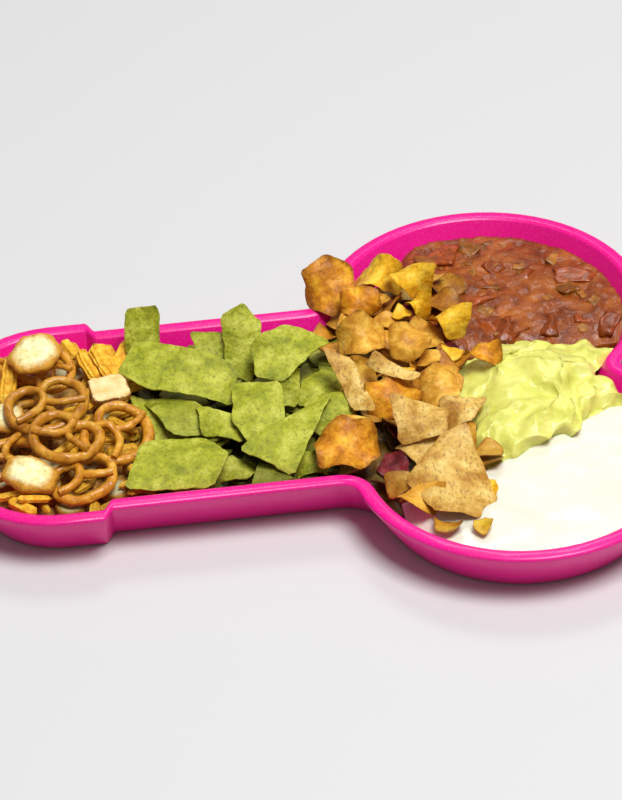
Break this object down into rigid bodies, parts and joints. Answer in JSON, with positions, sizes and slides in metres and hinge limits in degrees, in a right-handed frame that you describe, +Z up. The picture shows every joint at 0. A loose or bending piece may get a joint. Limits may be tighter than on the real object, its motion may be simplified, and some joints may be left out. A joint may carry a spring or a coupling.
{
  "type": "chip and dip server",
  "caption": "Shallow one-piece moulded party tray with a shouldered straight channel and a two-lobed bowl, served full of chips, snack mix and three dips.",
  "frame": {"origin": "middle of the tray's footprint, on the surface that it stands on", "axes": "+X from the rounded nose to the two-lobed bowl, +Y across the tray, +Z up"},
  "size_m": [0.412, 0.322, 0.0597],
  "materials": {
    "tray_plastic": "glossy moulded plastic, hot pink, with a fine speckle on the outside of the wall",
    "tortilla_chip": "dry, matt, green corn sheet with dark flecks",
    "beet_chip": "dry fried slice, dark red",
    "parsnip_chip": "dry fried slice, golden with browned edges",
    "taro_chip": "dry fried slice, beige with purple-brown threads",
    "sweet_potato_chip": "dry fried slice, orange-brown",
    "corn_chip": "dry fried curl, yellow",
    "corn_stick": "ridged baked stick, orange",
    "bagel_chip": "toasted bread slice, pale with a brown crust",
    "cracker": "baked cracker, pale top and brown toothed edge",
    "pretzel": "baked dough, brown and glossy",
    "snack_crumbs": "small broken pieces of the snack mix",
    "root_crumbs": "small broken pieces of the root vegetable chips",
    "salsa": "wet, glossy, chunky red-brown sauce",
    "guacamole": "moist, smooth, pale yellow-green mound",
    "sour_cream": "moist, smooth, ivory white"
  },
  "bodies": {
    "root": {"bagel_chip_1": "bagel_chip", "bagel_chip_2": "bagel_chip", "bagel_chip_3": "bagel_chip", "beet_chip_1": "beet_chip", "corn_chip_1": "corn_chip", "corn_chip_2": "corn_chip", "corn_chip_3": "corn_chip", "corn_chip_4": "corn_chip", "corn_chip_5": "corn_chip", "corn_stick_1": "corn_stick", "corn_stick_2": "corn_stick", "corn_stick_3": "corn_stick", "corn_stick_4": "corn_stick", "cracker": "cracker", "guacamole": "guacamole", "parsnip_chip_1": "parsnip_chip", "parsnip_chip_2": "parsnip_chip", "parsnip_chip_3": "parsnip_chip", "parsnip_chip_4": "parsnip_chip", "parsnip_chip_5": "parsnip_chip", "parsnip_chip_6": "parsnip_chip", "parsnip_chip_7": "parsnip_chip", "pretzel_1": "pretzel", "pretzel_2": "pretzel", "pretzel_3": "pretzel", "pretzel_4": "pretzel", "root_chip_bed": "root_crumbs", "salsa": "salsa", "snack_mix_bed": "snack_crumbs", "sour_cream": "sour_cream", "sweet_potato_chip_1": "sweet_potato_chip", "sweet_potato_chip_2": "sweet_potato_chip", "sweet_potato_chip_3": "sweet_potato_chip", "sweet_potato_chip_4": "sweet_potato_chip", "sweet_potato_chip_5": "sweet_potato_chip", "taro_chip_1": "taro_chip", "taro_chip_2": "taro_chip", "taro_chip_3": "taro_chip", "taro_chip_4": "taro_chip", "taro_chip_5": "taro_chip", "taro_chip_6": "taro_chip", "tortilla_bed": "tortilla_chip", "tortilla_chip_1": "tortilla_chip", "tortilla_chip_10": "tortilla_chip", "tortilla_chip_11": "tortilla_chip", "tortilla_chip_12": "tortilla_chip", "tortilla_chip_13": "tortilla_chip", "tortilla_chip_14": "tortilla_chip", "tortilla_chip_15": "tortilla_chip", "tortilla_chip_16": "tortilla_chip", "tortilla_chip_2": "tortilla_chip", "tortilla_chip_3": "tortilla_chip", "tortilla_chip_4": "tortilla_chip", "tortilla_chip_5": "tortilla_chip", "tortilla_chip_6": "tortilla_chip", "tortilla_chip_7": "tortilla_chip", "tortilla_chip_8": "tortilla_chip", "tortilla_chip_9": "tortilla_chip", "tray": "tray_plastic"}
  },
  "joints": []
}
